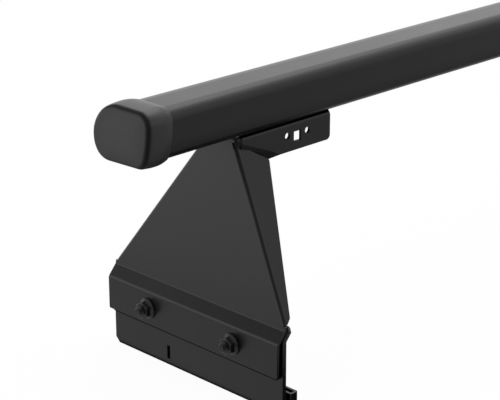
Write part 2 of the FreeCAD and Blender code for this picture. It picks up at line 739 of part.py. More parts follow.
def make_clamp_jaw(label, side):
    """Folded jaw: an upright with square holes for the bolts and a shallow tray below it."""
    body = new_body(label)
    outer = f"({JAW_X} + jaw_depth)"
    tray = new_sketch(body, "jaw_tray", "XY_Plane")
    rectangle(tray, JAW_X, outer, "-plate_width / 2", "plate_width / 2")
    pad(body, tray, "jaw_tray_block", "jaw_rim")

    def upright_corner(start, end):
        return abs(start.x - end.x) < 0.001 and abs(start.y - end.y) < 0.001

    dress(body, "Fillet", "jaw_tray_corners", edges_where(body, upright_corner), "jaw_rounding")
    hollow = new_sketch(body, "jaw_hollow", "XY_Plane", offset="jaw_sheet")
    rectangle(hollow, f"{JAW_X} + jaw_sheet", f"{outer} - jaw_sheet",
              "-(plate_width / 2 - jaw_sheet)", "(plate_width / 2 - jaw_sheet)")
    pocket(body, hollow, "jaw_hollow_cut", "jaw_rim", reverse=True)
    upright = new_sketch(body, "jaw_upright", "YZ_Plane", offset=JAW_X)
    polygon(upright, [
        ("-jaw_half", "jaw_sheet"),
        ("jaw_half", "jaw_sheet"),
        ("jaw_half", "jaw_height - jaw_corner"),
        ("jaw_half - jaw_corner", "jaw_height"),
        ("-(jaw_half - jaw_corner)", "jaw_height"),
        ("-jaw_half", "jaw_height - jaw_corner"),
    ])
    pad(body, upright, "jaw_upright_pad", "jaw_sheet")
    holes = new_sketch(body, "jaw_holes", "YZ_Plane", offset=f"{JAW_X} - 1")
    half = "(bolt_square / 2 + square_clearance)"
    for way in (-1, 1):
        centre = f"{way} * bolt_spacing / 2"
        rectangle(holes, f"{centre} - {half}", f"{centre} + {half}", f"{BOLT_Z} - {half}", f"{BOLT_Z} + {half}")
    pocket(body, holes, "jaw_holes_cut", "jaw_sheet + 2", reverse=True)
    place_foot_piece(body, side)
    return body


def make_carriage_bolt(label, side, way):
    """Clamp bolt: domed head inboard, square neck in the jaw, shank out through the nut."""
    body = new_body(label)
    centre = f"{way} * bolt_spacing / 2"
    neck_end = f"({JAW_X} + jaw_sheet)"
    shank = new_sketch(body, "bolt_shank", "YZ_Plane", offset="-bolt_tail")
    circle(shank, centre, BOLT_Z, "bolt_diameter")
    pad(body, shank, "bolt_shank_pad", f"{neck_end} + bolt_tail")

    ends = [f"Edge{index}" for index, edge in enumerate(body.Shape.Edges, start=1)
            if len(edge.Vertexes) == 1 and near(edge.Vertexes[0].X, "-bolt_tail")]
    dress(body, "Chamfer", "bolt_point", ends, "bolt_diameter / 10")
    neck = new_sketch(body, "bolt_neck", "YZ_Plane", offset=f"{neck_end} - jaw_sheet")
    half = "bolt_square / 2"
    rectangle(neck, f"{centre} - {half}", f"{centre} + {half}", f"{BOLT_Z} - {half}", f"{BOLT_Z} + {half}")
    pad(body, neck, "bolt_neck_pad", "jaw_sheet")
    head = new_sketch(body, "bolt_head", "YZ_Plane", offset=neck_end)
    circle(head, centre, BOLT_Z, "head_diameter")
    pad(body, head, "bolt_head_pad", "head_height")
    crown = [f"Edge{index}" for index, edge in enumerate(body.Shape.Edges, start=1)
             if len(edge.Vertexes) == 1 and near(edge.Vertexes[0].X, f"{neck_end} + head_height")]
    dress(body, "Fillet", "bolt_crown", crown, "head_height * 0.85")
    place_foot_piece(body, side)
    return body


def ring(body, name, inner, outer, start, length, across, up, reverse=False):
    """Tube along X about one centre."""
    sketch = new_sketch(body, f"{name}_ring", "YZ_Plane", offset=start)
    circle(sketch, across, up, outer)
    circle(sketch, across, up, inner)
    return pad(body, sketch, f"{name}_tube", length, reverse=reverse)


def hexagon(sketch, across, up, flats):
    """Hexagon with a corner up and the given distance across its flats."""
    corner = f"({flats}) / sqrt(3)"
    polygon(sketch, [
        (f"({across}) + ({corner}) * sin({angle})", f"({up}) + ({corner}) * cos({angle})")
        for angle in range(0, 360, 60)
    ])


def chamfer_hexagon(body, name, plane, centre, flats, end, out):
    """Turn off the corners of a hexagon's end; the axis runs along the sketch's first direction."""
    offset, across = centre
    sketch = new_sketch(body, f"{name}_corner_profile", plane, offset=offset)
    inside = f"({across} + {flats} / 2 - hex_chamfer_inset)"
    beyond = f"({across} + {flats} / 2 * 1.2)"
    drop = f"(({beyond} - {inside}) * tan(hex_chamfer_angle))"
    polygon(sketch, [
        (end, inside),
        (f"{end} - ({out}) * {drop}", beyond),
        (f"{end} + ({out}) * 1", beyond),
        (f"{end} + ({out}) * 1", inside),
    ])
    axis = sketch.addGeometry(Part.LineSegment(FreeCAD.Vector(value(end), value(across), 0),
                                               FreeCAD.Vector(value(end) - 5, value(across), 0)), True)
    place_point(sketch, axis, 1, end, across)
    place_point(sketch, axis, 2, f"{end} - 5", across)
    before = body.Shape.Volume
    feature = body.newObject("PartDesign::Groove", f"{name}_corner_turning")
    feature.Profile = sketch
    feature.ReferenceAxis = (sketch, ["Axis0"])
    feature.Angle = 360
    doc.recompute()
    if body.Shape.Volume >= before:
        raise RuntimeError(f"{body.Label}: {name} turning removes nothing")


def make_flange_nut(label, side, way):
    """Flange nut on the outboard side of the outer plate."""
    body = new_body(label)
    centre = f"{way} * bolt_spacing / 2"
    bore = "bolt_diameter + 2 * thread_clearance"
    half_across = "nut_across / 2"
    revolved = new_sketch(body, "nut_profile", "XY_Plane", offset=BOLT_Z)
    axis_y = centre
    polygon(revolved, [
        ("0", f"{axis_y} + ({bore}) / 2"),
        ("0", f"{axis_y} + nut_flange / 2"),
        ("-nut_rim", f"{axis_y} + nut_flange / 2"),
        ("-(nut_rim + nut_cone)", f"{axis_y} + {half_across}"),
        ("-(nut_rim + nut_cone)", f"{axis_y} + ({bore}) / 2"),
    ])
    line = revolved.addGeometry(Part.LineSegment(FreeCAD.Vector(0, value(axis_y), 0),
                                                 FreeCAD.Vector(-5, value(axis_y), 0)), True)
    place_point(revolved, line, 1, "0", axis_y)
    place_point(revolved, line, 2, "-5", axis_y)
    turn(body, revolved, "nut_flange_turned", "Axis0")
    hex_sketch = new_sketch(body, "nut_hex", "YZ_Plane", offset="-nut_rim / 2")
    hexagon(hex_sketch, centre, BOLT_Z, "nut_across")
    circle(hex_sketch, centre, BOLT_Z, bore)
    pad(body, hex_sketch, "nut_hex_pad", "nut_height - nut_rim / 2", reverse=True)
    chamfer_hexagon(body, "nut", "XY_Plane", (BOLT_Z, centre), "nut_across", "-nut_height", "-1")
    place_foot_piece(body, side)
    return body


def make_spacer(label, side, way):
    """Steel bush that keeps the outer plate and the clamp plate apart."""
    body = new_body(label)
    ring(body, "spacer", "bolt_hole", "spacer_diameter", "sheet", "plate_gap",
         f"{way} * bolt_spacing / 2", BOLT_Z)
    place_foot_piece(body, side)
    return body


def make_nut_plate(label, side):
    """Flat threaded plate that lies inside the bar, above the foot's screws."""
    body = new_body(label)
    start = "screw_first + screw_spacing / 2 - nut_plate_length / 2"
    outline = new_sketch(body, "nut_plate_outline", "XY_Plane", offset="seat_height + bar_wall")
    rectangle(outline, start, f"{start} + nut_plate_length", "-nut_plate_width / 2", "nut_plate_width / 2")
    for place in ("screw_first", "screw_first + screw_spacing"):
        circle(outline, place, "0", "bolt_diameter + 2 * thread_clearance")
    pad(body, outline, "nut_plate_pad", "nut_plate_height")
    place_foot_piece(body, side)
    return body


def make_bar_washer(label, side, place):
    """Flat washer between the web and a screw head."""
    body = new_body(label)
    sketch = new_sketch(body, "washer_ring", "XY_Plane", offset="seat_height - sheet")
    circle(sketch, place, "0", "washer_diameter")
    circle(sketch, place, "0", "bolt_hole")
    pad(body, sketch, "washer_pad", "washer_height", reverse=True)
    place_foot_piece(body, side)
    return body


def make_bar_screw(label, side, place):
    """Hexagon screw from below, through the web and the bar's wall into the nut plate."""
    body = new_body(label)
    seat = "(seat_height - sheet - washer_height)"
    tip = "(seat_height + bar_wall + nut_plate_height + screw_past)"
    head = new_sketch(body, "screw_head", "XY_Plane", offset=seat)
    hexagon(head, place, "0", "screw_across")
    pad(body, head, "screw_head_pad", "screw_head", reverse=True)
    shank = new_sketch(body, "screw_shank", "XY_Plane", offset=f"{seat} - 0.5")
    circle(shank, place, "0", "bolt_diameter")
    pad(body, shank, "screw_shank_pad", f"{tip} - {seat} + 0.5")
    ends = [f"Edge{index}" for index, edge in enumerate(body.Shape.Edges, start=1)
            if len(edge.Vertexes) == 1 and near(edge.Vertexes[0].Z, tip)]
    dress(body, "Chamfer", "screw_point", ends, "bolt_diameter / 10")
    place_foot_piece(body, side)
    return body


bodies = [make_crossbar()]
for side, name in ((-1, "left"), (1, "right")):
    bodies.append(make_end_cap(f"{name}_end_cap", side))
    bodies.append(make_foot_bracket(f"{name}_foot_bracket", side))
    bodies.append(make_clamp_plate(f"{name}_clamp_plate", side))
    bodies.append(make_clamp_jaw(f"{name}_clamp_jaw", side))
    bodies.append(make_nut_plate(f"{name}_nut_plate", side))
    for number, way in ((1, -1), (2, 1)):
        bodies.append(make_carriage_bolt(f"{name}_clamp_bolt_{number}", side, way))
        bodies.append(make_flange_nut(f"{name}_flange_nut_{number}", side, way))
        bodies.append(make_spacer(f"{name}_spacer_{number}", side, way))
    for number, place in ((1, "screw_first"), (2, "screw_first + screw_spacing")):
        bodies.append(make_bar_washer(f"{name}_bar_washer_{number}", side, place))
        bodies.append(make_bar_screw(f"{name}_bar_screw_{number}", side, place))
doc.recompute()

for item in doc.Objects:
    if "Invalid" in item.State or "Error" in item.State:
        raise RuntimeError(f"{item.Name} failed: {item.State}")
for body in bodies:
    if body.Shape.isNull() or not body.Shape.isValid() or not body.Shape.Solids:
        raise RuntimeError(f"{body.Label} has no valid solid")

os.makedirs("parts", exist_ok=True)
for body in bodies:
    body.Shape.exportStep(f"parts/{body.Label}.step")
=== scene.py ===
import bmesh
import bpy
import math
from mathutils import Matrix, Vector


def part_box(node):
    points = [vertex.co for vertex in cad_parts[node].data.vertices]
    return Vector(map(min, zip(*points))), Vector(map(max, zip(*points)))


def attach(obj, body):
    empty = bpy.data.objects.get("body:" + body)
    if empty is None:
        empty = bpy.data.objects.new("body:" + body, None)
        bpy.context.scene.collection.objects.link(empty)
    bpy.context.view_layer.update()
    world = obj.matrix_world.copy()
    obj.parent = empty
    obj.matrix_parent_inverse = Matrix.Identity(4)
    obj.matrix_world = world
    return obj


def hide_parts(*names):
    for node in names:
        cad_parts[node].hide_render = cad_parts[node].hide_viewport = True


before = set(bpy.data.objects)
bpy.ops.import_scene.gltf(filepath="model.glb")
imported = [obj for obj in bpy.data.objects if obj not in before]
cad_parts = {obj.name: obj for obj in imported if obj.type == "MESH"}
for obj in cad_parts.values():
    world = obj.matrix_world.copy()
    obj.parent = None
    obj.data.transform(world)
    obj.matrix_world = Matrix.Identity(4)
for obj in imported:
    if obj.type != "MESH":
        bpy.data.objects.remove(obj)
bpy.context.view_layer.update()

# Lengths are in metres and angles in degrees, where nothing else is said

SIDES = ("left", "right")
NUMBERS = (1, 2)
QUARTER = math.pi / 2.0


def clamped(value):
    """Value held between 0 and 1."""
    return min(max(value, 0.0), 1.0)


def eased(share):
    """Share from 0 to 1, with a soft start and end."""
    return share * share * (3.0 - 2.0 * share)


def box_of(name):
    """Lowest and highest corner of a node's box."""
    return [Vector(corner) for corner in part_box(name)]


# Shader nodes

def feed(tree, socket, given):
    """Link an input socket to an output socket, or set it to a value."""
    if isinstance(given, bpy.types.NodeSocket):
        tree.links.new(given, socket)
    else:
        socket.default_value = given


def node(tree, kind, place, **inputs):
    """Add a shader node; what its named inputs are given is an output socket or a value."""
    made = tree.nodes.new(kind)
    made.location = place
    for name, given in inputs.items():
        feed(tree, made.inputs[name.replace("_", " ")], given)
    return made


def number_node(tree, operation, place, *operands):
    """Output of a math node; its operands are output sockets or numbers."""
    made = node(tree, "ShaderNodeMath", place)
    made.operation = operation
    for socket, given in zip(made.inputs, operands):
        feed(tree, socket, given)
    return made.outputs["Value"]


def vector_node(tree, operation, place, first, second):
    """Output of a vector math node for two vectors, or for a vector and the number that scales it."""
    made = node(tree, "ShaderNodeVectorMath", place)
    made.operation = operation
    feed(tree, made.inputs[0], first)
    feed(tree, made.inputs["Scale" if operation == "SCALE" else 1], second)
    return made.outputs["Value" if operation == "DOT_PRODUCT" else "Vector"]


def range_node(tree, place, given, source, target):
    """Output of a node that maps one range to another, each a (low, high) pair."""
    made = node(tree, "ShaderNodeMapRange", place, Value=given, From_Min=source[0], From_Max=source[1],
                To_Min=target[0], To_Max=target[1])
    return made.outputs["Result"]


def mix_node(tree, place, share, first, second):
    """Output of a mix of two shaders by the share of the second."""
    made = node(tree, "ShaderNodeMixShader", place)
    for socket, given in zip(made.inputs, (share, first, second)):
        feed(tree, socket, given)
    return made.outputs["Shader"]


def empty_material(name):
    """New material without any nodes."""
    material = bpy.data.materials.new(name)
    material.use_nodes = True
    material.node_tree.nodes.clear()
    return material


# Materials

PLAIN_SPECULAR = 0.5
CLOUD_SIZE = 0.09
CLOUD_RANGE = (0.3, 0.7)
FLECK_PER_GRIT = 1.7
FLECK_RANGE = (0.35, 0.65)
FLECK_TONE = (0.88, 1.12)
GLOSS_VARIES = 0.07
NOISE_ROUGHNESS = 0.55
GRIT_ROUGHNESS = 0.65
# Painted shade on the rim of a cap's end face: the mesh attribute that marks it, its tone and its
# reflection
RIM_MARK = "rim_shade"
RIM_SHADE_TONE = 0.54
RIM_SHADE_SPECULAR = 0.04


def grain_material(name, colour, roughness, specular, peel, grit, mottle):
    """Black coating, plastic, or the near-black of painted shadow: soft peel, fine grit, slight mottling of
    tone and gloss.

    peel and grit are (size, height); mottle is the share by which the tone varies.
    """
    material = bpy.data.materials.new(name)
    material.use_nodes = True
    tree = material.node_tree
    shader = tree.nodes["Principled BSDF"]
    shader.inputs["Specular IOR Level"].default_value = specular
    where = node(tree, "ShaderNodeTexCoord", (-1400, 0)).outputs["Object"]

    def noise(size, detail, place, noise_roughness=NOISE_ROUGHNESS):
        made = node(tree, "ShaderNodeTexNoise", place, Vector=where, Scale=1.0 / size, Detail=detail,
                    Roughness=noise_roughness)
        return made.outputs["Fac"]

    cloud = noise(CLOUD_SIZE, 3.0, (-1150, 350))
    speck = noise(grit[0] * FLECK_PER_GRIT, 1.0, (-1150, 100))
    tone = range_node(tree, (-900, 350), cloud, CLOUD_RANGE, (1.0 - mottle, 1.0 + mottle))
    fleck = range_node(tree, (-900, 100), speck, FLECK_RANGE, FLECK_TONE)
    both = number_node(tree, "MULTIPLY", (-700, 250), tone, fleck)
    feed(tree, shader.inputs["Base Color"], vector_node(tree, "SCALE", (-500, 250), colour, both))
    gloss = range_node(tree, (-500, 0), cloud, CLOUD_RANGE,
                       (roughness * (1.0 - GLOSS_VARIES), roughness * (1.0 + GLOSS_VARIES)))
    feed(tree, shader.inputs["Roughness"], gloss)

    soft = noise(peel[0], 2.0, (-1150, -250))
    fine = noise(grit[0], 3.0, (-1150, -500), GRIT_ROUGHNESS)
    low = node(tree, "ShaderNodeBump", (-500, -250), Strength=1.0, Distance=peel[1], Height=soft)
    high = node(tree, "ShaderNodeBump", (-250, -350), Strength=1.0, Distance=grit[1], Height=fine,
                Normal=low.outputs["Normal"])
    feed(tree, shader.inputs["Normal"], high.outputs["Normal"])
    return material


def paint_rim_shade(material, tone, specular):
    """Paint shade on what the mesh attribute marks, the rim of a cap's end face: darker colour and less
    reflection.
    """
    tree = material.node_tree
    shader = tree.nodes["Principled BSDF"]
    mark = node(tree, "ShaderNodeAttribute", (-900, 700))
    mark.attribute_name = RIM_MARK
    rim = mark.outputs["Fac"]
    dark = range_node(tree, (-700, 700), rim, (0.0, 1.0), (1.0, tone))
    plain = shader.inputs["Base Color"].links[0].from_socket
    feed(tree, shader.inputs["Base Color"], vector_node(tree, "SCALE", (-300, 450), plain, dark))
    shaded_gloss = range_node(tree, (-700, 900), rim, (0.0, 1.0), (PLAIN_SPECULAR, specular))
    feed(tree, shader.inputs["Specular IOR Level"], shaded_gloss)


coat = grain_material("black_powder_coat", (0.010, 0.010, 0.0102), roughness=0.30, specular=PLAIN_SPECULAR,
                      peel=(0.0022, 0.00004), grit=(0.00045, 0.000018), mottle=0.10)
bar_coat = grain_material("black_bar_coat", (0.009, 0.009, 0.0092), roughness=0.30, specular=PLAIN_SPECULAR,
                          peel=(0.0030, 0.00003), grit=(0.00050, 0.000012), mottle=0.08)
cap_plastic = grain_material("black_cap_plastic", (0.0435, 0.0435, 0.0438), roughness=0.36,
                             specular=PLAIN_SPECULAR, peel=(0.0016, 0.00002), grit=(0.00035, 0.000022),
                             mottle=0.06)
# Near-black and almost without reflection: painted shadow for the seam under the bar and for the gap
# between the foot's plates
painted_shadow = grain_material("black_liner_rubber", (0.0012, 0.0012, 0.0012), roughness=0.90, specular=0.02,
                              peel=(0.0010, 0.00002), grit=(0.00030, 0.000020), mottle=0.20)
zinc = grain_material("black_zinc", (0.008, 0.008, 0.0082), roughness=0.32, specular=PLAIN_SPECULAR,
                      peel=(0.0012, 0.00001), grit=(0.00025, 0.000008), mottle=0.14)
# Painted shade: the cap's rounded rim is darker and reflects less, where it would mirror dark surroundings
paint_rim_shade(cap_plastic, RIM_SHADE_TONE, RIM_SHADE_SPECULAR)


# Looks of the CAD nodes: materials and lightly rounded edges

EDGE_ROUNDING = {"bracket": 0.0005, "clamp_plate": 0.0006, "clamp_jaw": 0.0004, "flange_nut": 0.00025,
                 "bar_washer": 0.0002, "spacer": 0.0003, "nut_plate": 0.0004}
ROUNDING_ANGLE = 38
COATED = ("bracket", "clamp_plate", "clamp_jaw")


def round_edges(item, width):
    """Break the sharp edges of a piece with a small rounding."""
    bevel = item.modifiers.new("edge_rounding", "BEVEL")
    bevel.width = width
    bevel.segments = 2
    bevel.limit_method = "ANGLE"
    bevel.angle_limit = math.radians(ROUNDING_ANGLE)
    bevel.use_clamp_overlap = False
    bevel.harden_normals = True


def material_of(name):
    """Material of a CAD node."""
    if name == "crossbar":
        return bar_coat
    if "end_cap" in name:
        return cap_plastic
    return coat if any(word in name for word in COATED) else zinc


for name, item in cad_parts.items():
    for word, width in EDGE_ROUNDING.items():
        if word in name:
            round_edges(item, width)
    for place in item.material_slots:
        place.material = material_of(name)
    if not item.material_slots:
        item.data.materials.append(material_of(name))


# Meshes

def skin(work, loops):
    """Join each loop of vertices to the next one with quads."""
    count = len(loops[0])
    for near, far in zip(loops, loops[1:]):
        for step in range(count):
            after = (step + 1) % count
            work.faces.new((near[step], near[after], far[after], far[step]))


def fan(work, loop, point):
    """Close a loop of vertices with triangles that meet in a point."""
    middle = work.verts.new(point)
    for step, vert in enumerate(loop):
        work.faces.new((vert, loop[(step + 1) % len(loop)], middle))


def flat_ends(work, loops):
    """Close the first and the last loop with one flat face each."""
    work.faces.new(loops[0])
    work.faces.new(list(reversed(loops[-1])))


def piece(name, work, material, sharp_angle=None):
    """Object from a mesh in progress; with an angle it is smooth, apart from edges sharper than that."""
    bmesh.ops.recalc_face_normals(work, faces=work.faces)
    if sharp_angle is not None:
        for face in work.faces:
            face.smooth = True
        for edge in work.edges:
            if len(edge.link_faces) == 2 and edge.calc_face_angle(0.0) > math.radians(sharp_angle):
                edge.smooth = False
    mesh = bpy.data.meshes.new(name)
    work.to_mesh(mesh)
    work.free()
    made = bpy.data.objects.new(name, mesh)
    bpy.context.collection.objects.link(made)
    made.data.materials.append(material)
    return made


# Fasteners: threads and heads that the solids leave plain, as rings along an axis

THREAD_PITCH = 0.00125
THREAD_DEPTH = 0.00068
THREAD_FLAT = 0.16           # share of a flank's way that is flat at the root, and again at the crest
BOLT_RADIUS = 0.004
POINT_LENGTH = 0.0011
AROUND = 32
PER_PITCH = 10
RUNOUT = 0.0004
LATHE_SHARP = 35

BOLT_HEAD_HEIGHT = 0.0045
BOLT_HEAD_RADIUS = 0.010
BOLT_HEAD_CHAMFER = 0.0004
BOLT_HEAD_EDGE = 0.0009
BOLT_SHANK = 0.003
BOLT_TIP = -0.0002
DOME_STEPS = 9
NECK_LENGTH = 0.002
NECK_HALF = 0.004
NECK_CORNER = 0.0004
NECK_STEP = 0.0001

SCREW_HEAD_HEIGHT = 0.0053
SCREW_HALF = 0.0065
SCREW_CUT_LOW = 0.00096
SCREW_CUT_HIGH = 0.00048
SCREW_CUT = 0.0004
SCREW_CROWN = 0.0003
SCREW_SHANK = 0.0015
SCREW_RUNOUT = 0.0012
SCREW_TIP = -0.0001


def thread_radius(along, turn):
    """Radius of an M8 thread at a distance along the axis and a share of a turn round it."""
    share = (along / THREAD_PITCH - turn) % 1.0
    flank = min(abs(share - 0.5) * 2.0, 1.0)
    depth = clamped((flank - THREAD_FLAT) / (1.0 - 2.0 * THREAD_FLAT))
    return BOLT_RADIUS - THREAD_DEPTH * (1.0 - depth)


def circle(radius):
    """Profile of a circle; a profile gives the radius for a share of a turn."""
    return lambda turn: radius


def square(half, corner):
    """Profile of a square with slightly rounded corners, a flat side facing each axis."""
    def radius(turn):
        angle = 2.0 * math.pi * turn
        reach = half / max(abs(math.cos(angle)), abs(math.sin(angle)))
        return min(reach, math.hypot(half, half) - corner)
    return radius


def hexagon(half, limit):
    """Profile of a hexagon with a corner on the ring's first axis, its corners cut at a radius."""
    def radius(turn):
        angle = (2.0 * math.pi * turn) % (math.pi / 3.0) - math.pi / 6.0
        return min(half / math.cos(angle), limit)
    return radius


def ring_of(along, profile):
    """Points of one ring at a distance along the axis."""
    points = []
    for step in range(AROUND):
        turn = step / AROUND
        angle = 2.0 * math.pi * turn
        radius = profile(turn)
        points.append((along, radius * math.cos(angle), radius * math.sin(angle)))
    return points


def threaded_rings(length):
    """Rings of a thread with a tapered point at its start, spaced evenly along the axis."""
    count = round(length / THREAD_PITCH * PER_PITCH)
    rings = []
    for step in range(count + 1):
        along = length * step / count
        taper = BOLT_RADIUS - POINT_LENGTH + along
        rings.append(ring_of(along, lambda turn: min(thread_radius(along, turn), taper)))
    return rings


def lathe_object(name, rings, first_tip, last_tip, place):
    """Skin a list of rings, close both ends with shallow tips and put the fastener at its place."""
    work = bmesh.new()
    loops = [[work.verts.new(point) for point in ring] for ring in rings]
    skin(work, loops)
    fan(work, loops[0], (first_tip, 0.0, 0.0))
    fan(work, loops[-1], (last_tip, 0.0, 0.0))
    made = piece(name, work, zinc, LATHE_SHARP)
    made.data.transform(place)
    return made


def carriage_bolt(side, number):
    """Clamp bolt: threaded tail through the nut, square neck in the jaw and a low domed head."""
    node_name = f"{side}_clamp_bolt_{number}"
    low, high = box_of(node_name)
    length = high.x - low.x
    seat = length - BOLT_HEAD_HEIGHT
    neck_start = seat - NECK_LENGTH
    thread_end = neck_start - BOLT_SHANK
    shank = circle(BOLT_RADIUS)
    neck = square(NECK_HALF, NECK_CORNER)
    head = circle(BOLT_HEAD_RADIUS)
    stations = [(thread_end + RUNOUT, shank), (neck_start, shank),
                (neck_start + NECK_STEP, neck), (seat, neck),
                (seat, circle(BOLT_HEAD_RADIUS - BOLT_HEAD_CHAMFER)),
                (seat + BOLT_HEAD_CHAMFER, head), (seat + BOLT_HEAD_EDGE, head)]
    dome = BOLT_HEAD_HEIGHT - BOLT_HEAD_EDGE
    for step in range(1, DOME_STEPS):
        swing = QUARTER * step / DOME_STEPS
        stations.append((seat + BOLT_HEAD_EDGE + dome * math.sin(swing),
                         circle(BOLT_HEAD_RADIUS * math.cos(swing))))
    rings = threaded_rings(thread_end) + [ring_of(*station) for station in stations]
    middle = (low + high) / 2.0
    if side == "left":
        place = Matrix.Translation((low.x, middle.y, middle.z))
    else:
        place = Matrix.Translation((high.x, middle.y, middle.z)) @ Matrix.Rotation(math.pi, 4, "Z")
    made = lathe_object(f"{node_name}_threaded", rings, BOLT_TIP, length, place)
    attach(made, f"{side}_jaw")
    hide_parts(node_name)


def hexagon_screw(side, number):
    """Bar screw: hexagon head with turned corners below, thread up through the bar's wall."""
    node_name = f"{side}_bar_screw_{number}"
    low, high = box_of(node_name)
    length = high.z - low.z
    seat = length - SCREW_HEAD_HEIGHT
    shank = circle(BOLT_RADIUS)
    head = hexagon(SCREW_HALF, SCREW_HALF / math.cos(math.pi / 6.0))
    stations = ((seat - SCREW_RUNOUT, shank), (seat, shank),
                (seat, head), (length - SCREW_CUT_LOW, head),
                (length - SCREW_CUT_HIGH, hexagon(SCREW_HALF, SCREW_HALF + SCREW_CUT)),
                (length, circle(SCREW_HALF - SCREW_CROWN)))
    rings = threaded_rings(seat - SCREW_SHANK) + [ring_of(*station) for station in stations]
    middle = (low + high) / 2.0
    place = Matrix.Translation((middle.x, middle.y, high.z)) @ Matrix.Rotation(QUARTER, 4, "Y")
    made = lathe_object(f"{node_name}_threaded", rings, SCREW_TIP, length, place)
    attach(made, "rack_bar")
    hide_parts(node_name)


for side in SIDES:
    for number in NUMBERS:
        carriage_bolt(side, number)
        hexagon_screw(side, number)


# End caps: pillow-shaped collar with a generous rim, which the solids give as a plain fillet

BAR_WIDTH = 0.060
BAR_HEIGHT = 0.042
NOSE_LOW = 0.015
TAIL_TOP = 0.010
TAIL_SIDE = 0.080
TAIL_LOW = 0.009

CAP_FACE = 0.005
CAP_DEPTH = 0.0215
CAP_PROUD = 0.0019
CAP_MIDDLE = -0.002
CAP_SAG = 0.0005
CAP_RIM = 0.0042
CAP_RIM_TURN = math.radians(84)
CAP_RIM_STEPS = 10
CAP_SIDE_STEPS = 14
CAP_BULGE = 0.0008
CAP_TAPER = 0.0009
CAP_TAPER_START = 0.6
CAP_MOUTH = 0.0009
CAP_MOUTH_STEPS = 5
CAP_CLEARANCE = 0.00012
CAP_INSET = 0.0001
CAP_SHARP = 50

# Extra depth below the middle of the bar, which grows towards the nose, and extra width at the nose
CAP_DROP = 0.0014
CAP_DROP_MIDDLE = 1.15
CAP_DROP_NOSE = 0.75
CAP_SWELL = 0.0020
CAP_SWELL_LESS_ABOVE = 0.7

# Shade of the end face: none in the middle, a little at the edge, full on the rim, none on the side
FACE_SHARES = (0.25, 0.5, 0.7, 0.85, 0.95, 1.0)
FACE_SHADE = 0.20
FACE_SHADE_START = 0.55
SHADE_FULL_STEP = 4
SHADE_FADE_STEP = 7
SHADE_FADE = 0.25
INSIDE = -1.0


def bar_section(grown, seat):
    """Points of the bar's outline moved outwards, as (y, z): tangent arcs, flat top and bottom."""
    half = BAR_WIDTH / 2.0 + grown
    low = seat - grown
    high = seat + BAR_HEIGHT + grown
    nose_low = NOSE_LOW + grown
    nose_top = BAR_HEIGHT - NOSE_LOW + grown
    tail_top = TAIL_TOP + grown
    tail_side = TAIL_SIDE + grown
    tail_low = TAIL_LOW + grown
    tail_z = high - tail_top
    low_z = low + tail_low
    side_y = tail_side - half
    reach = tail_side - tail_low
    lean = math.asin((tail_z - low_z) / reach)
    low_y = side_y - reach * math.cos(lean)
    # Centre's y and z, radius, first and last angle in radians, steps
    arcs = (
        (half - nose_low, low + nose_low, nose_low, -QUARTER, 0.0, 16),
        (half - nose_top, low + nose_low, nose_top, 0.0, QUARTER, 24),
        (tail_top - half, tail_z, tail_top, QUARTER, 2.0 * QUARTER, 16),
        (side_y, tail_z, tail_side, 2.0 * QUARTER, 2.0 * QUARTER + lean, 16),
        (low_y, low_z, tail_low, 2.0 * QUARTER + lean, 3.0 * QUARTER, 14),
    )
    joined = (1, 3, 4)       # these arcs start where the one before ends
    points = []
    for index, (y, z, radius, start, end, steps) in enumerate(arcs):
        for step in range(1 if index in joined else 0, steps + 1):
            angle = start + (end - start) * step / steps
            points.append((y + radius * math.cos(angle), z + radius * math.sin(angle)))
    return points


def shade_at(step):
    """Shade at a step round the rim: it rises, stays full and fades."""
    if step > SHADE_FADE_STEP:
        return 1.0 - SHADE_FADE * (step - SHADE_FADE_STEP)
    return FACE_SHADE + (1.0 - FACE_SHADE) * min(step / SHADE_FULL_STEP, 1.0)


def cap_profile():
    """Stations of the cap: depth from its face, growth outwards, share of the section, shade.

    They go from the middle of the face to the mouth and into the socket, whose shade is INSIDE.
    """
    flat = CAP_PROUD - CAP_RIM * math.sin(CAP_RIM_TURN)
    stations = []
    for share in FACE_SHARES:
        shade = FACE_SHADE * max(share - FACE_SHADE_START, 0.0) / (1.0 - FACE_SHADE_START)
        stations.append((CAP_SAG * share * share, flat, share, shade))
    for step in range(1, CAP_RIM_STEPS + 1):
        swing = CAP_RIM_TURN * step / CAP_RIM_STEPS
        stations.append((CAP_SAG + CAP_RIM * (1.0 - math.cos(swing)), flat + CAP_RIM * math.sin(swing),
                         1.0, shade_at(step)))
    length = CAP_FACE + CAP_DEPTH
    start = stations[-1][0]
    end = length - CAP_MOUTH
    for step in range(1, CAP_SIDE_STEPS + 1):
        share = step / CAP_SIDE_STEPS
        bulge = CAP_BULGE * math.sin(math.pi * share)
        taper = CAP_TAPER * (max(share - CAP_TAPER_START, 0.0) / (1.0 - CAP_TAPER_START)) ** 2
        stations.append((start + (end - start) * share, CAP_PROUD + bulge - taper, 1.0, 0.0))
    lip = stations[-1][1]
    for step in range(1, CAP_MOUTH_STEPS + 1):
        swing = QUARTER * step / CAP_MOUTH_STEPS
        stations.append((end + CAP_MOUTH * math.sin(swing), lip - CAP_MOUTH * (1.0 - math.cos(swing)),
                         1.0, 0.0))
    stations.append((length, CAP_CLEARANCE, 1.0, INSIDE))
    stations.append((CAP_FACE - CAP_INSET, CAP_CLEARANCE, 1.0, INSIDE))
    return stations


def cap_extra(y, z, centre_z):
    """How far the cap's outside reaches past the bar's grown section, sideways and downwards."""
    level = (z - centre_z) / (BAR_HEIGHT / 2.0)
    across = y / (BAR_WIDTH / 2.0)
    sideways = CAP_SWELL * (1.0 - CAP_SWELL_LESS_ABOVE * clamped(level)) * eased(clamped(across))
    lower = CAP_DROP * (CAP_DROP_MIDDLE + CAP_DROP_NOSE * across) * eased(clamped(-level))
    return sideways, lower


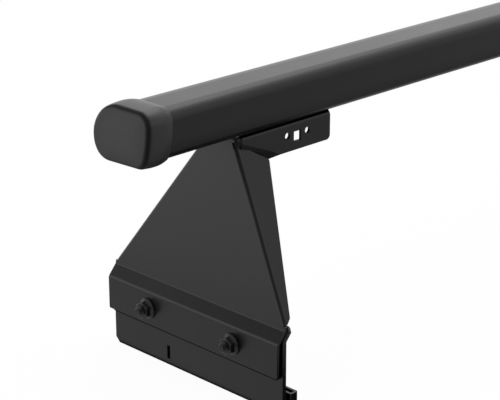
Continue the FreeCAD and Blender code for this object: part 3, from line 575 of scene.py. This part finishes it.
def end_cap(side):
    """Moulded cap in place of the node of its side."""
    node_name = f"{side}_end_cap"
    low, high = box_of(node_name)
    seat = low.z + CAP_PROUD
    way, face_x = (1.0, low.x) if side == "left" else (-1.0, high.x)
    centre_y = CAP_MIDDLE
    centre_z = seat + BAR_HEIGHT / 2.0
    work = bmesh.new()
    mark = work.verts.layers.float.new(RIM_MARK)
    loops = []
    for depth, grown, share, shade in cap_profile():
        loop = []
        for y, z in bar_section(grown, seat):
            sideways, lower = (0.0, 0.0) if shade == INSIDE else cap_extra(y, z, centre_z)
            vert = work.verts.new((face_x + way * depth,
                                   centre_y + (y - centre_y + sideways) * share,
                                   centre_z + (z - centre_z - lower) * share))
            vert[mark] = max(shade, 0.0)
            loop.append(vert)
        loops.append(loop)
    skin(work, loops)
    fan(work, loops[0], (face_x, centre_y, centre_z))
    fan(work, loops[-1], (face_x + way * (CAP_FACE - CAP_INSET), centre_y, centre_z))
    made = piece(f"{node_name}_moulded", work, cap_plastic, CAP_SHARP)
    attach(made, "rack_bar")
    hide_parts(node_name)


for side in SIDES:
    end_cap(side)


# Painted shadow: a near-black strip that fills the seam between the bar and the folded edges of the foot's
# two arms, where there is only shade

TAIL_LOW_Y = -0.0172         # centre of the arc under the bar's tail
ARM_HALF = 0.021
ARM_BEND = 0.0045
SEAM_SHADOW_INNER = 0.0176
SEAM_SHADOW_REACH = 0.0202
SEAM_SHADOW_STEPS = 6
SEAM_SHADOW_SWELL = 0.0002
SEAM_SHADOW_GAP = 0.00005
SEAM_SHADOW_SHARP = 50
# Space left free at the bracket's end towards the face and at its other end
SEAM_SHADOW_INSETS = (0.040, 0.0006)
# Rounded ends: distance from the end, and how far the outer edge is drawn in there
SEAM_SHADOW_ENDS = ((0.0, 0.0008), (0.0005, 0.0002), (0.0012, 0.0))


def bar_under(y):
    """Height of the bar's lower surface above the seat at a distance across it."""
    if y < 0.0:
        radius, centre = TAIL_LOW, TAIL_LOW_Y
    else:
        radius, centre = NOSE_LOW, BAR_WIDTH / 2.0 - NOSE_LOW
    past = max(abs(y) - abs(centre), 0.0)
    return radius - math.sqrt(radius * radius - past * past)


def arm_over(y):
    """Height of the arm's folded edge above the seat at a distance across the bar."""
    past = max(abs(y) - (ARM_HALF - ARM_BEND), 0.0)
    return math.sqrt(ARM_BEND * ARM_BEND - past * past) - ARM_BEND


def seam_shadow_section(way, reach):
    """Points of the shadow strip's wedge on one side of the bar, as (y, height above the seat)."""
    across = [way * (SEAM_SHADOW_INNER + (reach - SEAM_SHADOW_INNER) * step / SEAM_SHADOW_STEPS)
              for step in range(SEAM_SHADOW_STEPS + 1)]
    edge = (way * (reach + SEAM_SHADOW_SWELL), (bar_under(way * reach) + arm_over(way * reach)) / 2.0)
    upper = [(y, bar_under(y) - SEAM_SHADOW_GAP) for y in across]
    lower = [(y, arm_over(y) + SEAM_SHADOW_GAP) for y in reversed(across)]
    return upper + [edge] + lower


def seam_shadow_strip(side, way):
    """Near-black strip of painted shadow with a wedge section and rounded ends, in the seam on one side of
    the bar.
    """
    low, high = box_of(f"{side}_foot_bracket")
    first, last = SEAM_SHADOW_INSETS if side == "left" else reversed(SEAM_SHADOW_INSETS)
    start = low.x + first
    end = high.x - last
    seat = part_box("crossbar")[0][2]
    stations = [(start + inset, drawn) for inset, drawn in SEAM_SHADOW_ENDS]
    stations += [(end - inset, drawn) for inset, drawn in reversed(SEAM_SHADOW_ENDS)]
    work = bmesh.new()
    loops = [[work.verts.new((x, y, seat + rise)) for y, rise in seam_shadow_section(way, SEAM_SHADOW_REACH - drawn)]
             for x, drawn in stations]
    skin(work, loops)
    flat_ends(work, loops)
    word = "near" if way < 0 else "far"
    made = piece(f"{side}_seam_shadow_strip_{word}", work, painted_shadow, SEAM_SHADOW_SHARP)
    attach(made, "rack_bar")


for side in SIDES:
    for way in (-1.0, 1.0):
        seam_shadow_strip(side, way)


# Painted shadow: a near-black piece in the gap between the foot's outer plate and the clamp plate, where
# there is only shade, cut out round the two bolts

GAP_SHADOW_CLEARANCE = 0.00005
GAP_SHADOW_END = 0.0008
GAP_SHADOW_LIP = 0.00265
GAP_SHADOW_CORNER = 0.0025
GAP_SHADOW_STRIP = 0.0045
GAP_SHADOW_ROUNDING = 0.0003
# Heights above the floor
GAP_SHADOW_TOP = 0.0605
GAP_SHADOW_LEDGE = 0.0395


def gap_shadow_piece(side):
    """Near-black piece of painted shadow in the shape of a flat U."""
    low, high = box_of(f"{side}_spacer_1")
    bracket_low, bracket_high = box_of(f"{side}_foot_bracket")
    reach = bracket_high.y - GAP_SHADOW_END
    inner = reach - GAP_SHADOW_STRIP
    foot = bracket_low.z - GAP_SHADOW_LIP
    lip = reach - GAP_SHADOW_CORNER
    outline = ((-lip, foot), (lip, foot), (reach, foot + GAP_SHADOW_LIP), (reach, GAP_SHADOW_TOP), (inner, GAP_SHADOW_TOP),
               (inner, GAP_SHADOW_LEDGE), (-inner, GAP_SHADOW_LEDGE), (-inner, GAP_SHADOW_TOP), (-reach, GAP_SHADOW_TOP),
               (-reach, foot + GAP_SHADOW_LIP))
    work = bmesh.new()
    loops = [[work.verts.new((x, y, z)) for y, z in outline] for x in (low.x + GAP_SHADOW_CLEARANCE, high.x - GAP_SHADOW_CLEARANCE)]
    skin(work, loops)
    flat_ends(work, loops)
    made = piece(f"{side}_gap_shadow_piece", work, painted_shadow)
    round_edges(made, GAP_SHADOW_ROUNDING)
    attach(made, "rack_bar")


for side in SIDES:
    gap_shadow_piece(side)


# Camera

CAMERA_PLACE = (-1.5455, -0.9294, 0.6174)
CAMERA_TILT = 70
CAMERA_TURN = -45
CAMERA_LENS = 121.99         # millimetres, as is the sensor
CAMERA_SENSOR = 36.0

camera_data = bpy.data.cameras.new("camera")
camera_data.sensor_fit = "HORIZONTAL"
camera_data.sensor_width = CAMERA_SENSOR
camera_data.lens = CAMERA_LENS
camera = bpy.data.objects.new("camera", camera_data)
bpy.context.collection.objects.link(camera)
camera.location = CAMERA_PLACE
camera.rotation_euler = (math.radians(CAMERA_TILT), 0, math.radians(CAMERA_TURN))
bpy.context.scene.camera = camera
bpy.context.scene.view_settings.view_transform = "Standard"


# Floor: nearly plain white in the camera's view and in reflections, a pale diffuse sheet for other light

FLOOR_HALF = 14
FLOOR_HEIGHT = -0.0002
FLOOR_TONE = (0.95, 0.95, 0.95, 1)
FLOOR_WHITE = (1, 1, 1, 1)
FLOOR_SHARE = 0.96


def sheet_object(name, low, high, height, material):
    """Flat rectangle at a height, part of the studio and not of the object."""
    mesh = bpy.data.meshes.new(name)
    corners = [(low[0], low[1], height), (high[0], low[1], height),
               (high[0], high[1], height), (low[0], high[1], height)]
    mesh.from_pydata(corners, [], [(0, 1, 2, 3)])
    made = bpy.data.objects.new(name, mesh)
    bpy.context.collection.objects.link(made)
    made.data.materials.append(material)
    return made


def pale_floor():
    """Material of the floor."""
    material = empty_material("pale_floor")
    tree = material.node_tree
    path = node(tree, "ShaderNodeLightPath", (-700, 300)).outputs
    seen = number_node(tree, "MAXIMUM", (-450, 300), path["Is Camera Ray"], path["Is Glossy Ray"])
    seen = number_node(tree, "MAXIMUM", (-250, 300), seen, path["Is Transmission Ray"])
    share = number_node(tree, "MULTIPLY", (-50, 300), seen, FLOOR_SHARE)
    lit = node(tree, "ShaderNodeBsdfDiffuse", (-250, 50), Color=FLOOR_TONE).outputs["BSDF"]
    white = node(tree, "ShaderNodeEmission", (-250, -100), Color=FLOOR_WHITE, Strength=1.0)
    blend = mix_node(tree, (150, 100), share, lit, white.outputs["Emission"])
    node(tree, "ShaderNodeOutputMaterial", (350, 100), Surface=blend)
    return material


sheet_object("floor", (-FLOOR_HALF, -FLOOR_HALF), (FLOOR_HALF, FLOOR_HALF), FLOOR_HEIGHT, pale_floor())


# Studio cards on the floor: only reflections and bounced light from above meet them, and never the camera

FOOT_FACE = 0.6825
FOOT_REACH = 0.385
STRIP_HALF = 0.17
DARK_EDGE = -0.05
END_LINE = 0.12
# Name, low corner, high corner, grey
CARDS = (
    ("card_under_left_foot", (-FOOT_FACE, -STRIP_HALF), (-FOOT_REACH, STRIP_HALF), 0.004),
    ("card_under_bar", (-FOOT_REACH, -STRIP_HALF), (FOOT_REACH, DARK_EDGE), 0.12),
    ("card_behind_bar", (-FOOT_REACH, DARK_EDGE), (FOOT_REACH, STRIP_HALF), 0.42),
    ("card_under_right_foot", (FOOT_REACH, -STRIP_HALF), (FOOT_FACE, STRIP_HALF), 0.004),
    ("card_left_end", (-1.5, -END_LINE), (-FOOT_FACE, 1.0), 0.52),
    ("card_near_corner", (-2.6, -2.6), (-FOOT_FACE, -END_LINE), 0.12),
    ("card_right_end", (FOOT_FACE, -1.0), (1.5, END_LINE), 0.52),
    ("card_front", (-FOOT_FACE, -4.5), (4.5, -STRIP_HALF), 0.37),
)


def floor_card(name, low, high, level):
    """Card that gives off a plain grey upwards and is clear from below and in the camera's view."""
    material = empty_material(name)
    tree = material.node_tree
    side = node(tree, "ShaderNodeNewGeometry", (-400, 200)).outputs["Backfacing"]
    grey = node(tree, "ShaderNodeEmission", (-400, 0), Color=(level, level, level, 1), Strength=1.0)
    clear = node(tree, "ShaderNodeBsdfTransparent", (-400, -150)).outputs["BSDF"]
    mix = mix_node(tree, (-100, 0), side, grey.outputs["Emission"], clear)
    node(tree, "ShaderNodeOutputMaterial", (100, 0), Surface=mix)
    made = sheet_object(name, low, high, 0.0, material)
    made.visible_camera = False
    made.visible_shadow = False


for card in CARDS:
    floor_card(*card)


# Studio light from all round: a grey that depends on the height, times light from ahead and from the left

# Share of the way from straight below to straight above, grey
SKY = ((0.0, 0.6), (0.50, 0.80), (0.60, 0.97), (0.68, 1.0), (0.80, 0.40), (1.0, 0.45))
LIGHT_EVEN = 0.50
# Patches: turn from the x axis, rise above the floor, how narrow, how strong
LIGHT_SIDES = ((30, 0, 4.0, 0.80), (128, 0, 2.0, 0.98))
# Dark patches behind the camera, low on the right and high on the left
SHADES = ((225, 18, 12.0, 0.85), (338, 16, 40.0, 0.90), (117, 42, 16.0, 0.85))
# Bright patches high and low on the right
GLOWS = ((-22, 50, 10.0, 1.05), (305, 17, 30.0, 0.30))

world = bpy.data.worlds.new("studio")
world.use_nodes = True
bpy.context.scene.world = world
sky = world.node_tree
sky_way = node(sky, "ShaderNodeTexCoord", (-1100, 0)).outputs["Generated"]
split = node(sky, "ShaderNodeSeparateXYZ", (-900, 0), Vector=sky_way)
height = range_node(sky, (-700, 0), split.outputs["Z"], (-1.0, 1.0), (0.0, 1.0))
ramp = node(sky, "ShaderNodeValToRGB", (-500, 0), Fac=height)
ramp.color_ramp.interpolation = "EASE"
stops = ramp.color_ramp.elements
for index, (where, level) in enumerate(SKY):
    stop = stops[index] if index < len(stops) else stops.new(where)
    stop.position = where
    stop.color = (level, level, level, 1)


def patch(turn, rise, power, row):
    """Round patch of the studio: 1 in its direction and less away from it."""
    flat = math.cos(math.radians(rise))
    direction = (flat * math.cos(math.radians(turn)), flat * math.sin(math.radians(turn)),
                 math.sin(math.radians(rise)))
    toward = vector_node(sky, "DOT_PRODUCT", (-700, row), sky_way, direction)
    ahead = number_node(sky, "MAXIMUM", (-550, row), toward, 0.0)
    return number_node(sky, "POWER", (-400, row), ahead, power)


def patches(given, start, row):
    """Sum of a start value and of patches, each times its strength."""
    total = start
    for turn, rise, power, gain in given:
        total = number_node(sky, "MULTIPLY_ADD", (-250, row), patch(turn, rise, power, row), gain, total)
    return total


sides = patches(LIGHT_SIDES, LIGHT_EVEN, -300)
light = vector_node(sky, "SCALE", (-100, 0), ramp.outputs["Color"], sides)
unshaded = number_node(sky, "SUBTRACT", (0, -300), 1.0, patches(SHADES, 0.0, -600))
shaded = vector_node(sky, "SCALE", (100, 0), light, unshaded)
lit = vector_node(sky, "ADD", (250, 0), shaded, patches(GLOWS, 0.0, -900))
feed(sky, sky.nodes["Background"].inputs["Color"], lit)
sky.nodes["Background"].inputs["Strength"].default_value = 1.0


def soft_sun(name, direction, angle, strength):
    """Broad, even light that comes from a direction."""
    data = bpy.data.lights.new(name, "SUN")
    data.angle = math.radians(angle)
    data.energy = strength
    lamp = bpy.data.objects.new(name, data)
    bpy.context.collection.objects.link(lamp)
    lamp.rotation_euler = Vector(direction).to_track_quat("Z", "Y").to_euler()


soft_sun("overhead", (0.25, 0.35, 1.0), angle=70, strength=1.7)
